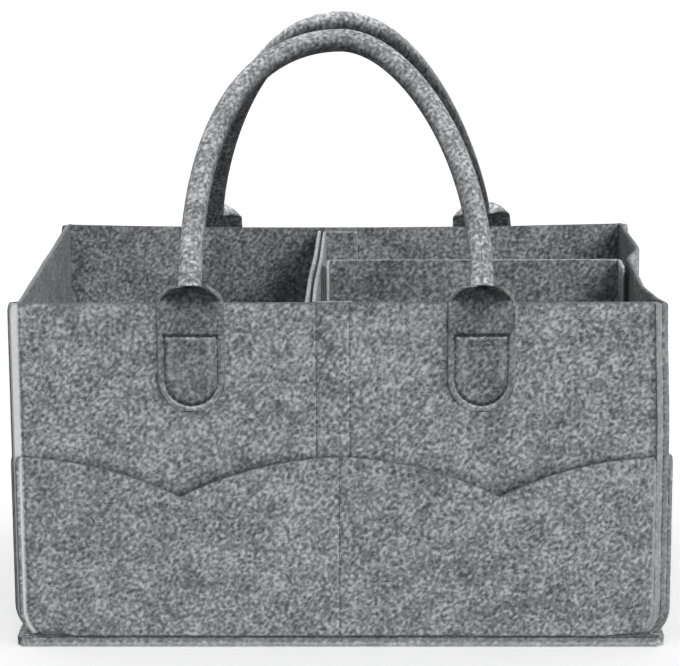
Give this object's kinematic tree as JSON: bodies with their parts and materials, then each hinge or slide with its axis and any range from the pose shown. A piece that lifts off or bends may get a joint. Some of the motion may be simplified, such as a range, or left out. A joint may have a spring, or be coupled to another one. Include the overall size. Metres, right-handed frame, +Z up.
{
  "type": "diaper caddy",
  "caption": "Open felt storage caddy with rolled carrying handles, scalloped outside pockets and lift-out dividers that part the inside into compartments.",
  "frame": {"origin": "middle of the underside of the bottom panel, on the surface the caddy stands on", "axes": "+X along the long side to the right of the pictured front, +Y from the front wall to the back wall, +Z up"},
  "size_m": [0.3416, 0.2417, 0.314],
  "materials": {
    "body_felt": "needled melange felt, matte",
    "pocket_felt": "needled melange felt, matte",
    "handle_felt": "needled melange felt, rolled, matte",
    "divider_felt": "needled melange felt, matte",
    "loop_tape": "brushed loop pile",
    "hook_tape": "moulded nylon hooks",
    "core_cord": "soft filler cord"
  },
  "bodies": {
    "caddy": {"bottom_panel": "body_felt", "front_panel": "body_felt", "back_panel": "body_felt", "left_side_panel": "body_felt", "right_side_panel": "body_felt", "front_pocket": "pocket_felt", "back_pocket": "pocket_felt", "left_side_pocket": "pocket_felt", "right_side_pocket": "pocket_felt", "front_loop_strip": "loop_tape", "back_loop_strip": "loop_tape", "right_loop_strip": "loop_tape", "front_handle_tab_left": "handle_felt", "front_handle_tab_right": "handle_felt", "back_handle_tab_left": "handle_felt", "back_handle_tab_right": "handle_felt"},
    "front_handle": {"front_handle": "handle_felt", "front_handle_core": "core_cord"},
    "back_handle": {"back_handle": "handle_felt", "back_handle_core": "core_cord"},
    "cross_divider": {"cross_divider_left_sheet": "divider_felt", "cross_divider_right_sheet": "divider_felt", "cross_divider_front_hook_strip": "hook_tape", "cross_divider_back_hook_strip": "hook_tape", "cross_divider_loop_strip": "loop_tape"},
    "long_divider": {"long_divider": "divider_felt", "long_divider_left_hook_strip": "hook_tape", "long_divider_right_hook_strip": "hook_tape"}
  },
  "joints": [
    {"name": "front_handle_swing", "type": "hinge", "parent": "caddy", "child": "front_handle", "pos_m": [0, -0.1154, 0.16345], "axis": [1, 0, 0], "range_deg": [0, 155]},
    {"name": "back_handle_swing", "type": "hinge", "parent": "caddy", "child": "back_handle", "pos_m": [0, 0.1154, 0.16345], "axis": [-1, 0, 0], "range_deg": [0, 155]},
    {"name": "cross_divider_lift", "type": "slide", "parent": "caddy", "child": "cross_divider", "axis": [0, 0, 1], "range_m": [0, 0.105]},
    {"name": "long_divider_lift", "type": "slide", "parent": "caddy", "child": "long_divider", "axis": [0, 0, 1], "range_m": [0, 0.105]}
  ]
}
